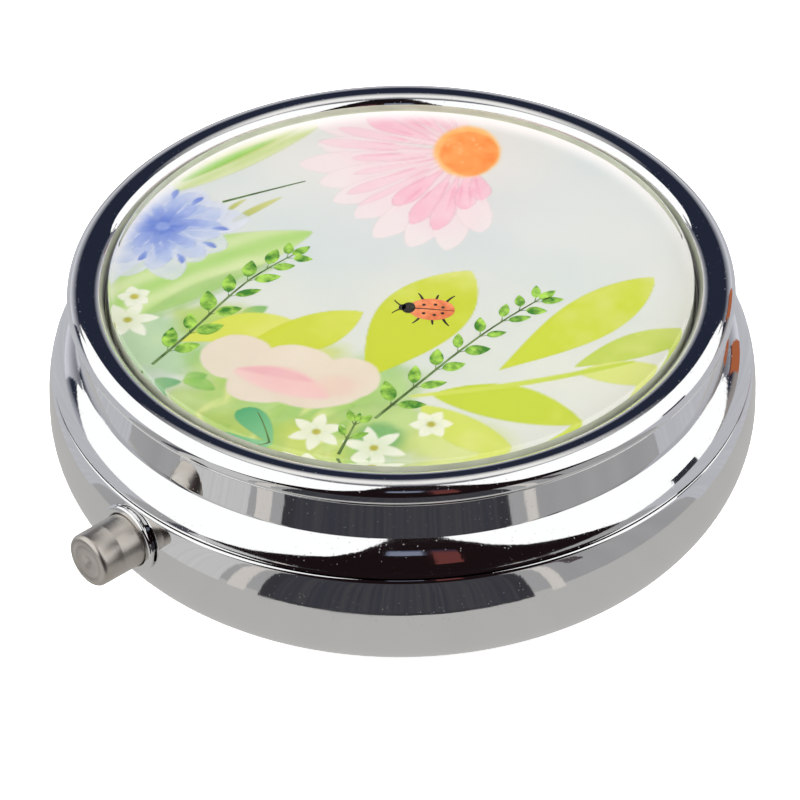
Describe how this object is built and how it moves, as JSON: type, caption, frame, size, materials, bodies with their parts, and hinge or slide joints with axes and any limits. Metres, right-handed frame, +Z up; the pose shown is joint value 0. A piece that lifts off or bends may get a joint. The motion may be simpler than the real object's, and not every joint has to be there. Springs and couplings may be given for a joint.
{
  "type": "pill box",
  "caption": "Round chromed pocket pill box with a hinged picture-dome lid, push-button catch, mirror and divided tray.",
  "frame": {"origin": "centre of the base's flat underside", "axes": "+Z up through the lid, -Y towards the push button, +Y towards the hinge, X along the hinge pin"},
  "size_m": [0.05, 0.0545, 0.0167],
  "materials": {
    "chrome_case": "mirror-bright chromium plating",
    "chrome_inner": "bright plating",
    "hinge_chrome": "bright plating",
    "bush_chrome": "bright plating",
    "pin_steel": "drawn wire",
    "button_steel": "turned, dull",
    "spring_steel": "rolled strip",
    "rivet_steel": "headed wire",
    "tray_plastic": "moulded white polypropylene",
    "mirror_glass": "silvered glass",
    "foam_pad": "closed-cell foam",
    "printed_card": "printed card",
    "clear_resin": "clear domed resin"
  },
  "bodies": {
    "base": {"base_shell": "chrome_case", "base_ring": "chrome_inner", "pill_tray": "tray_plastic", "button_bush": "bush_chrome", "latch_spring": "spring_steel", "hinge_base_leaf": "hinge_chrome", "hinge_pin": "pin_steel", "base_hinge_rivet_left": "rivet_steel", "base_hinge_rivet_right": "rivet_steel"},
    "button": {"button": "button_steel"},
    "lid": {"lid_shell": "chrome_case", "lid_ring": "chrome_inner", "lid_hook": "spring_steel", "hinge_lid_leaf": "hinge_chrome", "lid_hinge_rivet_left": "rivet_steel", "lid_hinge_rivet_right": "rivet_steel", "hook_rivet_left": "rivet_steel", "hook_rivet_right": "rivet_steel", "mirror": "mirror_glass", "mirror_pad": "foam_pad", "picture_disc": "printed_card", "dome_lens": "clear_resin"}
  },
  "joints": [
    {"name": "lid_hinge", "type": "hinge", "parent": "base", "child": "lid", "pos_m": [0, 0.0242, 0.00955], "axis": [-1, 0, 0], "range_deg": [0, 105]},
    {"name": "button_press", "type": "slide", "parent": "base", "child": "button", "axis": [0, 1, 0], "range_m": [0, 0.001], "stiffness_N_per_m": 600, "springref_m": -0.001, "deforming": ["latch_spring"]}
  ]
}
